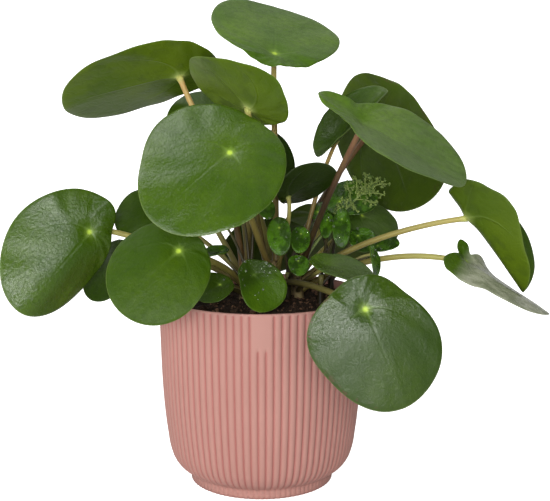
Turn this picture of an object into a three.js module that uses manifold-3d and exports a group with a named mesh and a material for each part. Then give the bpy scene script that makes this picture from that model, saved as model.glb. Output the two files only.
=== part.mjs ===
// A potted pilea: a ribbed plastic pot filled with potting soil, three short stems, and round
// leaves, each a blade held near its middle by a long petiole.
// Millimetres, +Z up. The origin is the middle of the pot's base, and -Y is the front.
import * as THREE from "three";
import { mergeVertices } from "three/addons/utils/BufferGeometryUtils.js";
import Module from "manifold-3d";

const wasm = await Module();
wasm.setup();

// ---- Driving dimensions -------------------------------------------------------------------

const GAP = 0.3; // running clearance between neighbouring solids

const POT = {
  height: 130,
  ribs: 84,
  facing: 0.9, // degrees that the smooth plate is turned to the right of the front
  ribDepth: 1.1,
  crest: 0.22, // half the width of a crest's flat top, as a share of the rib pitch
  plateRibs: 3, // the smooth plate at the front takes the place of this many ribs
  plateInset: 0.1, // what the plate leaves free at either side, as a share of the rib pitch
  plateHeight: 24,
  plateDepth: 2,
  // Outer profile over the rib crests: [radius, height].
  outside: [
    [49.2, 0], [49.8, 6.5], [52.6, 8.2], [57.4, 11.6], [61.2, 17], [63.6, 24.5],
    [65.2, 35], [70.4, 130],
  ],
  // Inner profile, from the middle of the floor to above the rim.
  inside: [
    [0, 4], [45.8, 4], [47.5, 9.5], [54, 13], [58, 19], [60.4, 26], [62, 35], [67.9, 128],
    [68.1, 131], [0, 131],
  ],
};

const SOIL = { edge: 123, middle: 127, bump: 1.6, spokes: 24, rings: [0.85, 0.6, 0.35], inset: 0.8 };

// Short woody stems in the soil: foot and top of the axis, and radius at the soil and the top.
const STEMS = {
  stem_main: { foot: [6, 2, 96], top: [8, -2, 152], radius: [6, 4.8] },
  stem_left: { foot: [-12, -6, 100], top: [-10, -7, 148], radius: [4.4, 3.8] },
  stem_right: { foot: [24, 2, 100], top: [25, -1, 149], radius: [4.8, 4] },
};
const BARK = { steps: 6, sides: 10, scar: 0.35, crown: 0.6 };

const BLADE = {
  thickness: 0.9,
  crease: 6, // from the midrib to where the fold is complete
  dimple: 1.8,
  dimpleRadius: 7,
  ripple: 0.012, // the margin's waves, as a share of the blade's size
  sectionSteps: 12, // steps in which the bend across the blade is added up
  // For blades wider than the first number: spokes round the dot, and rings out to the margin.
  mesh: [[45, [22, [0.2, 0.6, 1]]], [22, [16, [0.3, 1]]], [0, [10, [1]]]],
};
const PETIOLE = {
  radii: [2.2, 1.8],
  small: 0.75, // the share of the radii on blades narrower than smallBlade
  smallBlade: 45,
  collar: 1.4, // the last ring, which spreads under the blade
  rooted: 1.5, // how far the root starts inside the bark
  sides: 6,
  // Steps along a petiole whose ends lie further apart than the first number.
  steps: [[60, 8], [0, 5]],
};

// Each leaf: where the petiole joins the blade, where the tip is, which way the upper side
// faces, and the blade's width. heel is the share of the length behind the petiole. fold and
// curl are degrees for the left and right half, positive upwards, and droop is the bend along
// the midrib in degrees. plan scales the outline at every 45 degrees from the tip round by the
// left. open is the share of the fold that remains at the base of the left and right half.
// stem and root say where the petiole springs from: a stem, a height, and a heading in degrees
// from +X. out and into are the petiole's handles at its root and at the blade.
const LEAVES = [
  { name: "crown", at: [9, -15, 291], tip: [8, 44, 322], faces: [0.25, -0.45, 0.86],
    width: 83, heel: 0.18, fold: [3, 3], curl: [-3, -3], droop: 3,
    plan: [1.01, 1.05, 1.06, 1.15, 1.25, 1.12, 0.98, 1.1],
    stem: "stem_main", root: [149, 50], out: [0, 6, 70], into: [-1, 4, -24] },
  { name: "upper_left", at: [-54, -2, 276], tip: [-130, -12, 255], faces: [-0.22, 0.44, 0.85],
    width: 91, heel: 0.24, fold: [9, 5], curl: [-6, 2], droop: 6,
    plan: [0.99, 0.97, 1.02, 1.12, 1.04, 1, 1.03, 1.04],
    stem: "stem_left", root: [145, 165], out: [-4, 0, 60], into: [10, -2, -26] },
  { name: "upper_mid", at: [-8, -29, 256], tip: [-41, -46, 287], faces: [0.57, 0.42, 0.7],
    width: 77, heel: 0.24, fold: [16, -2], curl: [0, 0], droop: 4,
    plan: [1, 0.92, 1.06, 1.36, 1.15, 1, 0.9, 0.9],
    stem: "stem_left", root: [147, 280], out: [2, -9, 50], into: [4, 2, -20] },
  { name: "front_big", at: [-18, -82, 232], tip: [-62, -106, 193], faces: [-0.1, -0.82, 0.56],
    width: 90, heel: 0.31, fold: [-3, -3], curl: [-8, -8], droop: 10,
    plan: [1, 0.95, 0.94, 1.08, 1.05, 1.12, 1.25, 0.95],
    stem: "stem_main", root: [143, 268], out: [-11, -18, 30], into: [4, 16, -16] },
  { name: "back_small", at: [-27, 25, 237], tip: [-55, 38, 255], faces: [-0.3, -0.6, 0.75],
    width: 52, heel: 0.3, fold: [0, 0], curl: [-6, -6], droop: 8,
    plan: [1.2, 1.12, 1, 1, 1, 1, 1, 1],
    stem: "stem_left", root: [145, 60], out: [0, 6, 40], into: [4, 4, -14] },
  { name: "left_mid", at: [-74, 20, 185], tip: [-97, 16, 172], faces: [-0.3, -0.9, 0.4],
    width: 38, heel: 0.3, fold: [0, 0], curl: [-8, -8], droop: 10,
    plan: [1.13, 1, 1, 1, 1, 1, 1, 1.04],
    stem: "stem_left", root: [140, 122], out: [-16, 4, 20], into: [10, 6, -6] },
  { name: "far_left", at: [-115, -10, 173], tip: [-160, -31, 121.5], faces: [0.2, -0.97, 0],
    width: 85, heel: 0.25, fold: [-16, -6], curl: [-48, -14], droop: 6,
    plan: [0.98, 0.7, 0.58, 0.62, 1, 1.08, 1.05, 1],
    open: [0.4, 0.4],
    stem: "stem_left", root: [138, 182], out: [-34, 8, 18], into: [3, 24, 4] },
  { name: "left_lower", at: [-50, -75, 171], tip: [-84, -90, 138], faces: [-0.06, -0.88, 0.46],
    width: 64, heel: 0.23, fold: [0, -3], curl: [-8, -8], droop: 10,
    plan: [1.04, 1.03, 1, 1, 1, 1, 1, 1],
    stem: "stem_left", root: [136, 245], out: [-12, -14, 20], into: [8, 12, -4] },
  { name: "left_dark", at: [-98, 18, 153], tip: [-116, 7, 124], faces: [-0.47, -0.69, 0.56],
    width: 44, heel: 0.23, fold: [0, 0], curl: [-6, -6], droop: 8,
    plan: [1.04, 1, 1, 1, 1, 1, 1, 1],
    stem: "stem_left", root: [132, 158], out: [-24, 8, 10], into: [12, 6, -2] },
  { name: "dark_behind", at: [-8, 10, 224], tip: [14, 12, 196], faces: [0.25, -0.95, 0.15],
    width: 48, heel: 0.3, fold: [0, 0], curl: [-6, -6], droop: 6,
    plan: [1, 1.05, 1.06, 1, 1, 1, 1, 1],
    stem: "stem_main", root: [146, 190], out: [-8, 4, 34], into: [-2, 12, -6] },
  { name: "dark_mid", at: [18, -10, 197], tip: [51, -11, 213], faces: [-0.34, 0.6, 0.72],
    width: 44, heel: 0.15, fold: [4, 4], curl: [4, 4], droop: 4,
    stem: "stem_main", root: [146, 340], out: [6, -6, 24], into: [2, -4, -10] },
  { name: "small_folded", at: [51, 0, 235], tip: [85, 0, 267], faces: [-0.5, -0.5, 0.7],
    width: 38, heel: 0.28, fold: [35, 35], curl: [0, 0], droop: 0,
    stem: "stem_right", root: [147, 62], out: [6, 10, 34], into: [-7, 18, -15] },
  { name: "right_upper", at: [64, -60, 248], tip: [122, -80, 210], faces: [0.43, -0.32, 0.84],
    width: 85, heel: 0.32, fold: [11, 4], curl: [2, 2], droop: 0,
    plan: [1, 1, 0.86, 0.6, 1.02, 0.68, 0.68, 0.9],
    stem: "stem_right", root: [143, 325], out: [6, -14, 34], into: [-8, 8, -18] },
  { name: "right_back", at: [84, 50, 245], tip: [107, 50, 183], faces: [0.6, 0.72, 0.27],
    width: 88, heel: 0.33, fold: [0, 0], curl: [-6, -6], droop: 4,
    plan: [1.05, 1.08, 1.04, 1.03, 1.08, 0.93, 0.93, 1.08],
    stem: "stem_right", root: [144, 125], out: [-3, 36, 24], into: [-10, -6, -12] },
  { name: "right_mid", at: [71, 35, 178], tip: [95, 33, 162], faces: [0.37, -0.6, 0.7],
    width: 43, heel: 0.28, fold: [-4, -4], curl: [-6, -6], droop: 8,
    stem: "stem_right", root: [139, 40], out: [12, 14, 20], into: [-4, 10, -8] },
  { name: "right_far", at: [136, -20, 184], tip: [174, -20, 131], faces: [0.79, 0, 0.61],
    width: 80, heel: 0.25, fold: [36, 48], curl: [8, 8], droop: 4,
    plan: [0.96, 1.2, 1.02, 1.05, 1, 1.24, 0.97, 0.74],
    stem: "stem_right", root: [138, 350], out: [26, -6, 26], into: [-30, 0, -3] },
  { name: "right_low", at: [135, -30, 156.5], tip: [188.5, -38, 121], faces: [0.55, 0, 0.83],
    width: 60, heel: 0.2, fold: [1, -20], curl: [0, 0], droop: -4,
    plan: [1, 0.92, 0.32, 0.95, 0.36, 1.12, 1.08, 0.72],
    open: [65, 2.2],
    stem: "stem_right", root: [132, 10], out: [40, -6, 26], into: [-30, 0, 8] },
  { name: "front_right", at: [63, -105, 141], tip: [87, -115, 82], faces: [0.05, -1, 0.19],
    width: 78, heel: 0.23, fold: [-3, -3], curl: [-10, -10], droop: 10,
    plan: [0.99, 0.96, 0.82, 1, 1.03, 1.03, 1.15, 0.94],
    stem: "stem_main", root: [136, 300], out: [14, -34, 14], into: [-6, 14, 2] },
  { name: "low_right", at: [42, -45, 157], tip: [73, -52, 147], faces: [0.1, -0.35, 0.9],
    width: 28, heel: 0.25, fold: [6, 6], curl: [0, 0], droop: 4,
    stem: "stem_right", root: [132, 280], out: [4, -18, 12], into: [-4, 4, -6] },
  { name: "low_centre", at: [-4, -58, 153], tip: [9, -63, 132], faces: [0.25, -0.8, 0.5],
    width: 34, heel: 0.25, fold: [3, 3], curl: [14, 14], droop: 4,
    plan: [1, 0.95, 0.9, 0.98, 1.25, 1.1, 0.82, 1.05],
    stem: "stem_main", root: [131, 255], out: [-4, -22, 12], into: [-2, 6, -3] },
  { name: "low_left", at: [-27, -30, 141], tip: [-41, -39, 132], faces: [-0.2, -0.6, 0.75],
    width: 28, heel: 0.3, fold: [3, 3], curl: [4, 4], droop: 6,
    stem: "stem_left", root: [130, 225], out: [-4, -6, 6], into: [2, 3, -4] },
  // Leaves at the back, which a viewer at the front cannot see.
  { name: "back_top", at: [-22, 62, 226], tip: [-30, 104, 206], faces: [-0.1, 0.5, 0.86],
    width: 66, heel: 0.28, fold: [2, 2], curl: [-8, -8], droop: 12,
    stem: "stem_main", root: [145, 110], out: [0, 28, 26], into: [5, -13, -17] },
  { name: "back_left", at: [-48, 66, 190], tip: [-76, 98, 166], faces: [-0.4, 0.5, 0.77],
    width: 64, heel: 0.27, fold: [3, 3], curl: [-8, -8], droop: 10,
    stem: "stem_left", root: [136, 105], out: [-10, 20, 20], into: [8, -10, -14] },
  { name: "back_right", at: [46, 66, 170], tip: [59, 93, 127], faces: [0.2, 0.8, 0.55],
    width: 72, heel: 0.27, fold: [2, 2], curl: [-8, -8], droop: 10,
    stem: "stem_right", root: [138, 158], out: [-2, 32, 18], into: [-4, -12, -12] },
  { name: "back_low", at: [4, 53, 163], tip: [5, 75, 128], faces: [-0.1, 0.8, 0.6],
    width: 66, heel: 0.26, fold: [2, 2], curl: [-6, -6], droop: 8,
    stem: "stem_main", root: [139, 85], out: [0, 20, 14], into: [0, -12, -6] },
];

// Young shoots beside the stems: a short stem each, and leaves that are still part of it.
const YOUNG = {
  stem: 2.6,
  petiole: [1.1, 0.8],
  top: 2, // the first petiole leaves the stem this far below its top
  step: 3, // and each of the others this much lower
  taper: 0.7, // the share of the stem's radius that is left at its top
  // Handles of the petioles: shares of the way to the blade, and of its length behind the blade.
  out: [0.2, 0.2, 0.5],
  into: 0.25,
};
const SHOOTS = {
  shoot_main: {
    foot: [18, -10, 106],
    top: [18, -11, 146],
    leaves: [
      { at: [12, -24, 178], tip: [13, -33, 160.5], faces: [-0.1, -0.85, 0.5], width: 16 },
      { at: [26.5, -18, 173], tip: [24.5, -26, 161], faces: [0.15, -0.85, 0.5], width: 13 },
      { at: [24.5, -30, 157], tip: [25, -38, 148], faces: [0.05, -0.75, 0.65], width: 14 },
    ],
  },
  shoot_right: {
    foot: [39, -20, 106],
    top: [40, -20, 146],
    leaves: [
      { at: [54, -12, 182], tip: [53, -20, 163.5], faces: [-0.1, -0.85, 0.5], width: 12 },
      { at: [44.5, -8, 181], tip: [43.5, -14, 169], faces: [-0.3, -0.85, 0.4], width: 9 },
      { at: [74, -22, 160], tip: [74.5, -26, 145], faces: [0.85, -0.5, 0.1], width: 13 },
    ],
  },
  shoot_back: {
    foot: [48, 10, 106],
    top: [48, 10, 146],
    leaves: [
      { at: [39, 17, 183], tip: [49, 16, 177], faces: [-0.1, -0.7, 0.7], width: 18 },
      { at: [54, 18, 190], tip: [80, 15, 191], faces: [0.05, -0.75, 0.65], width: 30 },
      { at: [66, 6, 168], tip: [73, 1, 158], faces: [0.1, -0.7, 0.7], width: 20 },
      { at: [80, 10, 160.5], tip: [95, 11, 162], faces: [0.2, -0.6, 0.8], width: 16 },
    ],
  },
  shoot_left: {
    foot: [-6, -25, 106],
    top: [-7, -24, 142],
    leaves: [
      { at: [-14, -28, 194], tip: [-16, -36, 180], faces: [-0.2, -0.8, 0.5], width: 18 },
      { at: [-28, -18, 184], tip: [-38, -20, 174], faces: [-0.4, -0.5, 0.7], width: 16 },
      { at: [0, -22, 194], tip: [6, -26, 184], faces: [0.2, -0.6, 0.7], width: 14 },
      { at: [-26, -20, 162], tip: [-38, -22, 158], faces: [-0.3, -0.4, 0.85], width: 13 },
    ],
  },
};
const YOUNG_LEAF = { heel: 0.28, fold: [8, 8], curl: [10, 10], droop: 10 };

// A spray of flower buds: a stalk from a stem, and for each branch where it leaves the stalk
// (share of its length) and where it ends.
const SPRAY = {
  stem: "stem_right",
  root: [148, 5],
  out: [9, 1, 20],
  top: [70, 4, 199],
  into: [-8, 2, -8],
  stalk: [1.1, 0.6],
  branch: 0.5,
  bud: 1.3,
  branches: [
    [0.7, [56, 0, 193]], [0.76, [58, 3, 204]], [0.84, [64, 0, 208]], [0.8, [78, 1, 190]],
    [0.9, [84, 4, 196]], [1, [71, 8, 209]], [1, [79, -2, 206]], [1, [85, 2, 204]],
  ],
};

// ---- Building blocks ----------------------------------------------------------------------

const vec = (p) => new THREE.Vector3(...p);
const radians = THREE.MathUtils.degToRad;
const colour = (hex, roughness) =>
  new THREE.MeshStandardMaterial({ color: hex, roughness, metalness: 0 });

const MATERIALS = {
  pot: colour(0xc98f86, 0.6),
  soil: colour(0x2a1d15, 0.95),
  stem: colour(0x6b5a33, 0.7),
  petiole: colour(0x9aa04a, 0.5),
  blade: colour(0x3f6b22, 0.4),
};

/** A closed geometry as a manifold-3d solid. */
function solidOf(geometry) {
  const bare = geometry.clone();
  bare.deleteAttribute("normal");
  bare.deleteAttribute("uv");
  const merged = mergeVertices(bare, 1e-4);
  return new wasm.Manifold(
    new wasm.Mesh({
      numProp: 3,
      vertProperties: merged.attributes.position.array,
      triVerts: new Uint32Array(merged.index.array),
    }),
  );
}

/** A manifold-3d solid as a geometry for a mesh. */
function geometryOf(solid) {
  const mesh = solid.getMesh();
  const geometry = new THREE.BufferGeometry();
  geometry.setAttribute("position", new THREE.BufferAttribute(mesh.vertProperties, 3));
  geometry.setIndex(new THREE.BufferAttribute(mesh.triVerts, 1));
  geometry.computeVertexNormals();
  return geometry;
}

/** The largest body of a solid, which drops the scraps that a cut leaves. */
function largest(solid) {
  return solid.decompose().reduce((a, b) => (a.volume() > b.volume() ? a : b));
}

/** A closed solid through rings of points with equal counts, each end closed on its middle. */
function loft(rings) {
  const count = rings[0].length;
  const middle = (ring) =>
    ring.reduce((sum, p) => sum.add(p), new THREE.Vector3()).divideScalar(count);
  const points = [...rings.flat(), middle(rings[0]), middle(rings.at(-1))];
  const first = rings.length * count;
  const last = first + 1;
  const index = [];
  for (let k = 0; k < count; k++) {
    const next = (k + 1) % count;
    for (let r = 0; r + 1 < rings.length; r++) {
      const low = r * count;
      const high = low + count;
      index.push(low + k, low + next, high + next, low + k, high + next, high + k);
    }
    const top = (rings.length - 1) * count;
    index.push(first, next, k, last, top + k, top + next);
  }
  const geometry = new THREE.BufferGeometry().setFromPoints(points);
  geometry.setIndex(index);
  return solidOf(geometry);
}

/**
 * A round tube along a curve, with a radius for each share of its length. Its last ring is
 * square to the curve, or to a direction of its own.
 */
function tube(curve, steps, sides, radiusAt, lastSquare) {
  const frames = curve.computeFrenetFrames(steps, false);
  const rings = [];
  for (let s = 0; s <= steps; s++) {
    const centre = curve.getPointAt(s / steps);
    const radius = radiusAt(s / steps);
    const square = (s === steps && lastSquare) || frames.tangents[s];
    const side = frames.normals[s].clone().projectOnPlane(square).normalize();
    const other = square.clone().cross(side);
    rings.push(
      Array.from({ length: sides }, (_, k) => {
        const turn = (2 * Math.PI * k) / sides;
        return centre
          .clone()
          .addScaledVector(side, radius * Math.cos(turn))
          .addScaledVector(other, radius * Math.sin(turn));
      }),
    );
  }
  return loft(rings);
}

/** Smooth noise from 0 to 1 that depends only on its arguments. */
function noise(a, b) {
  return 0.5 + 0.25 * Math.sin(3.1 * a + 1.7 * b) + 0.25 * Math.sin(5.3 * b - 2.3 * a + 1);
}

// ---- Pot and soil -------------------------------------------------------------------------

/** The radius of a profile at a height, between two of its corners. */
function profileRadius(profile, height) {
  const k = profile.findIndex(([, z], n) => n > 0 && z >= height);
  const [[r0, z0], [r1, z1]] = [profile[k - 1], profile[k]];
  return r0 + ((r1 - r0) * (height - z0)) / (z1 - z0);
}

/** A point on a ring, turned from the front by a number of rib pitches. */
function onRing(radius, pitches, z) {
  const angle = (2 * Math.PI * pitches) / POT.ribs + radians(POT.facing - 90);
  return new THREE.Vector3(radius * Math.cos(angle), radius * Math.sin(angle), z);
}

/** One ring of the ribbed outside: for each rib a groove and two points on its round crest. */
function ribRing([radius, z]) {
  const points = [];
  for (let rib = 0; rib < POT.ribs; rib++)
    for (const [share, depth] of [[-0.5, POT.ribDepth], [-POT.crest, 0], [POT.crest, 0]])
      points.push(onRing(radius - depth, rib + share, z));
  return points;
}

/** The smooth plate that covers the top of the front ribs. */
function makePlate() {
  const reach = POT.plateRibs / 2 - POT.plateInset;
  const rings = [POT.height - POT.plateHeight, POT.height].map((z) => {
    const radius = profileRadius(POT.outside, z);
    const front = [-1, -0.6, -0.2, 0.2, 0.6, 1].map((k) => onRing(radius, k * reach, z));
    const back = [1, -1].map((k) => onRing(radius - POT.plateDepth, k * reach, z));
    return [...front, ...back];
  });
  return loft(rings);
}

function makePot() {
  const hollow = new THREE.LatheGeometry(
    POT.inside.map(([r, z]) => new THREE.Vector2(r, z)),
    POT.ribs / 2,
  ).rotateX(Math.PI / 2);
  const ribbed = loft(POT.outside.map(ribRing)).add(makePlate());
  return largest(ribbed.subtract(solidOf(hollow)));
}

/** Soil that fills the pot, mounded and crumbly on top, with plain holes for the stems. */
function makeSoil(stems) {
  const ring = (radius, heightAt) =>
    Array.from({ length: SOIL.spokes }, (_, k) => {
      const angle = (2 * Math.PI * k) / SOIL.spokes;
      const x = radius * Math.cos(angle);
      const y = radius * Math.sin(angle);
      return new THREE.Vector3(x, y, heightAt(x, y));
    });
  const { inset } = SOIL;
  const edge = profileRadius(POT.inside.slice(1), SOIL.edge) - inset;
  const surface = (x, y) => {
    const share = Math.hypot(x, y) / edge;
    const mound = SOIL.middle + (SOIL.edge - SOIL.middle) * share ** 2;
    return mound + SOIL.bump * (noise(x / 7, y / 7) - 0.5);
  };
  const below = POT.inside.filter(([r, z]) => r > 0 && z < SOIL.edge);
  const floor = POT.inside[0][1];
  const sides = below.map(([r, z]) => ring(r - inset, () => (z === floor ? z + inset : z)));
  const rim = ring(edge, () => SOIL.edge);
  const top = SOIL.rings.map((share) => ring(edge * share, surface));
  const body = loft([...sides, rim, ...top]);
  return stems.reduce((soil, stem) => soil.subtract(stem), body);
}

// ---- Stems, blades and petioles -----------------------------------------------------------

/** A stem, swollen at its leaf scars, or the plain round hole it stands in when grown. */
function makeStem({ foot, top, radius }, grow) {
  const ends = new THREE.Vector3(0, 0, grow);
  const axis = new THREE.LineCurve3(vec(foot).sub(ends), vec(top).add(ends));
  return tube(axis, BARK.steps, BARK.sides, (share) => {
    const plain = THREE.MathUtils.lerp(...radius, share);
    const scar = Math.round(share * BARK.steps) % 2 ? BARK.scar : 0;
    const crown = share < 1 ? 1 : BARK.crown;
    return (plain + scar) * crown + grow;
  });
}

/** The smooth curve through evenly spaced values, at a share of the way between the middle two. */
function smoothThrough(before, from, to, after, share) {
  const [start, end] = [(to - before) / 2, (after - from) / 2];
  const rise = to - from;
  const bend = 3 * rise - 2 * start - end + share * (start + end - 2 * rise);
  return from + share * (start + share * bend);
}

/** The leaf's own frame: along the midrib, across it, and out of the upper side. */
function leafFrame(leaf) {
  const along = vec(leaf.tip).sub(vec(leaf.at));
  const reach = along.length();
  along.normalize();
  const up = vec(leaf.faces);
  up.addScaledVector(along, -up.dot(along)).normalize();
  return { along, across: up.clone().cross(along), up, reach };
}

/** Turns a leaf's numbers into the function from a share of the radius and an angle to a point. */
function bladeShape(leaf, serial) {
  const { along, across, up, reach } = leafFrame(leaf);
  const tipShare = 1 - leaf.heel;
  // The tip's chord is shorter than the bent midrib, and turned down by half the bend.
  const bend = Math.max(1e-6, Math.abs(radians(leaf.droop)) * 2 * tipShare);
  const sign = Math.sign(leaf.droop) || 1;
  const length = (reach * (bend / 2)) / Math.sin(bend / 2) / tipShare;
  const half = { along: length / 2, across: leaf.width / 2 };
  const centre = half.along - leaf.heel * length;
  const lean = (sign * bend) / 2;

  const plan = leaf.plan ?? Array(8).fill(1);
  const open = leaf.open ?? [1, 1];
  const planAt = (angle) => {
    const turn = ((angle / (2 * Math.PI)) * plan.length + plan.length) % plan.length;
    const knot = (step) => plan[(Math.floor(turn) + step + plan.length) % plan.length];
    return smoothThrough(knot(-1), knot(0), knot(1), knot(2), turn % 1);
  };

  const outline = (angle) => {
    const [c, s] = [Math.cos(angle), Math.sin(angle)];
    const a = (c / half.along) ** 2 + (s / half.across) ** 2;
    const b = (-2 * c * centre) / half.along ** 2;
    const d = (centre / half.along) ** 2 - 1;
    const wavy =
      1 + BLADE.ripple * (Math.sin(3 * angle + serial) + 0.7 * Math.sin(5 * angle - 2 * serial));
    return (planAt(angle) * wavy * (-b + Math.sqrt(b * b - 4 * a * d))) / (2 * a);
  };

  /** Across the blade, bent up or down from the midrib: [sideways, up, slope]. */
  const section = (arc, side, u) => {
    const closing = THREE.MathUtils.smoothstep(u, centre - half.along, centre);
    const fold = radians(leaf.fold[side]) * THREE.MathUtils.lerp(open[side], 1, closing);
    const curl = radians(leaf.curl[side]);
    const slope = (s) => fold * Math.min(1, s / BLADE.crease) + (curl * s) / half.across;
    const steps = BLADE.sectionSteps;
    let [y, z] = [0, 0];
    for (let k = 0; k < steps; k++) {
      const s = ((k + 0.5) / steps) * arc;
      y += (Math.cos(slope(s)) * arc) / steps;
      z += (Math.sin(slope(s)) * arc) / steps;
    }
    return [y, z, slope(arc)];
  };

  return (share, angle, below) => {
    const radius = share * outline(angle);
    const [u, v] = [radius * Math.cos(angle), radius * Math.sin(angle)];
    const [y, z, slope] = section(Math.abs(v), v > 0 ? 0 : 1, u);
    const side = Math.sign(v);
    const k = (sign * bend) / 2 / (tipShare * half.along) || 1e-9;
    const pitch = -k * u + lean;
    // Midrib point, turned so that its tip lies on the chord.
    const [mx, mz] = [Math.sin(k * u) / k, -(1 - Math.cos(k * u)) / k];
    const x0 = mx * Math.cos(lean) - mz * Math.sin(lean);
    const z0 = mx * Math.sin(lean) + mz * Math.cos(lean);
    const rise =
      z +
      share ** 3 * leaf.width * BLADE.ripple * Math.sin(4 * angle + 1.3 * serial) -
      BLADE.dimple * Math.exp(-((radius / BLADE.dimpleRadius) ** 2)) + BLADE.dimple -
      below * Math.cos(slope);
    const sideways = side * (y + below * Math.sin(slope));
    return vec(leaf.at)
      .addScaledVector(along, x0 - rise * Math.sin(pitch))
      .addScaledVector(across, sideways)
      .addScaledVector(up, z0 + rise * Math.cos(pitch));
  };
}

/** A blade: a fan of rings round the petiole, alike on both faces, with a band at the margin. */
function makeBlade(leaf, serial) {
  const [spokes, shares] = BLADE.mesh.find(([width]) => leaf.width > width)[1];
  const point = bladeShape(leaf, serial);
  const points = [];
  const index = [];
  for (const below of [0, BLADE.thickness]) {
    points.push(point(0, 0, below));
    for (const share of shares)
      for (let k = 0; k < spokes; k++) points.push(point(share, (2 * Math.PI * k) / spokes, below));
  }
  const face = 1 + shares.length * spokes;
  const add = (a, b, c) => {
    index.push(a, b, c); // upper side
    index.push(face + a, face + c, face + b);
  };
  for (let k = 0; k < spokes; k++) {
    const next = (k + 1) % spokes;
    add(0, 1 + k, 1 + next);
    for (let r = 0; r + 1 < shares.length; r++) {
      const [low, high] = [1 + r * spokes, 1 + (r + 1) * spokes];
      add(low + k, high + k, high + next);
      add(low + k, high + next, low + next);
    }
    const rim = 1 + (shares.length - 1) * spokes;
    index.push(rim + k, face + rim + k, face + rim + next);
    index.push(rim + k, face + rim + next, rim + next);
  }
  const geometry = new THREE.BufferGeometry().setFromPoints(points);
  geometry.setIndex(index);
  return solidOf(geometry);
}

/** Where a petiole leaves its stem, inside the bark. */
function rootPoint({ stem, root: [height, heading] }) {
  const { foot, top, radius } = STEMS[stem];
  const share = (height - foot[2]) / (top[2] - foot[2]);
  const axis = vec(foot).lerp(vec(top), share);
  const r = radius[0] + (radius[1] - radius[0]) * share - PETIOLE.rooted;
  const turn = radians(heading);
  return axis.add(new THREE.Vector3(r * Math.cos(turn), r * Math.sin(turn), 0));
}

/** A petiole from a point to a blade, widest where they meet and square to the blade there. */
function petioleRod(leaf, root, [out, into], end, [start, finish], steps, sides) {
  const { up } = leafFrame(leaf);
  const curve = new THREE.CubicBezierCurve3(root, root.clone().add(out), end.clone().add(into), end);
  const radiusAt = (share) =>
    share < 1 ? THREE.MathUtils.lerp(start, finish, share) : finish * PETIOLE.collar;
  return tube(curve, steps, sides, radiusAt, up);
}

/** A leaf's petiole, clear of its stem and its blade. */
function makePetiole(leaf, stem) {
  const { up } = leafFrame(leaf);
  const radii = PETIOLE.radii.map((r) => r * (leaf.width < PETIOLE.smallBlade ? PETIOLE.small : 1));
  // A blade that folds down leaves less room beside the midrib.
  const sink = Math.sin(radians(Math.max(0, ...leaf.fold.map((fold) => -fold))));
  const drop = (sink * (radii[1] * PETIOLE.collar) ** 2) / BLADE.crease;
  const under = vec(leaf.at).addScaledVector(up, -BLADE.thickness - GAP - drop);
  const root = rootPoint(leaf);
  const [, steps] = PETIOLE.steps.find(([span]) => under.distanceTo(root) > span);
  const handles = [vec(leaf.out), vec(leaf.into)];
  const rod = petioleRod(leaf, root, handles, under, radii, steps, PETIOLE.sides);
  return largest(rod.subtract(stem));
}

/** A young shoot: a short stem with its leaves, in one piece. */
function makeShoot({ foot, top, leaves }) {
  const axis = new THREE.LineCurve3(vec(foot), vec(top));
  const stem = tube(axis, 3, 8, (share) => YOUNG.stem * THREE.MathUtils.lerp(1, YOUNG.taper, share));
  return leaves.reduce((shoot, young, serial) => {
    const leaf = { ...YOUNG_LEAF, ...young };
    const { up } = leafFrame(leaf);
    const root = vec(top).sub(new THREE.Vector3(0, 0, YOUNG.top + YOUNG.step * serial));
    const end = vec(leaf.at).addScaledVector(up, -BLADE.thickness / 2);
    const out = end.clone().sub(root).multiply(vec(YOUNG.out));
    const into = up.clone().multiplyScalar(-YOUNG.into * end.distanceTo(root));
    const rod = petioleRod(leaf, root, [out, into], end, YOUNG.petiole, 3, 4);
    return shoot.add(rod).add(makeBlade(leaf, serial));
  }, stem);
}

/** The spray of flower buds, in one piece. */
function makeSpray(stem) {
  const root = rootPoint(SPRAY);
  const top = vec(SPRAY.top);
  const stalk = new THREE.CubicBezierCurve3(
    root,
    root.clone().add(vec(SPRAY.out)),
    top.clone().add(vec(SPRAY.into)),
    top,
  );
  const rod = tube(stalk, 7, 5, (share) => THREE.MathUtils.lerp(...SPRAY.stalk, share));
  const whole = SPRAY.branches.reduce((spray, [share, end]) => {
    const branch = new THREE.LineCurve3(stalk.getPointAt(share), vec(end));
    const bud = solidOf(new THREE.OctahedronGeometry(SPRAY.bud, 0)).translate(...end);
    return spray.add(tube(branch, 1, 4, () => SPRAY.branch)).add(bud);
  }, rod);
  return largest(whole.subtract(stem));
}

// ---- Assembly -----------------------------------------------------------------------------

const plant = new THREE.Group();

function addPart(name, solid, material) {
  const mesh = new THREE.Mesh(geometryOf(solid), material);
  mesh.name = name;
  plant.add(mesh);
}

const grownStems = Object.fromEntries(
  Object.entries(STEMS).map(([name, stem]) => [name, makeStem(stem, GAP)]),
);

const grownShoots = Object.values(SHOOTS).map(({ foot, top }) => {
  const hole = new THREE.LineCurve3(vec(foot).sub(new THREE.Vector3(0, 0, GAP)), vec(top));
  return tube(hole, 1, 8, () => YOUNG.stem + GAP);
});

addPart("pot", makePot(), MATERIALS.pot);
addPart("soil", makeSoil([...Object.values(grownStems), ...grownShoots]), MATERIALS.soil);
for (const [name, stem] of Object.entries(STEMS)) addPart(name, makeStem(stem, 0), MATERIALS.stem);
LEAVES.forEach((leaf, serial) => {
  addPart(`blade_${leaf.name}`, makeBlade(leaf, serial), MATERIALS.blade);
  addPart(`petiole_${leaf.name}`, makePetiole(leaf, grownStems[leaf.stem]), MATERIALS.petiole);
});

for (const [name, shoot] of Object.entries(SHOOTS))
  addPart(name, makeShoot(shoot), MATERIALS.blade);
addPart("flower_spray", makeSpray(grownStems[SPRAY.stem]), MATERIALS.petiole);

export default plant;
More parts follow.
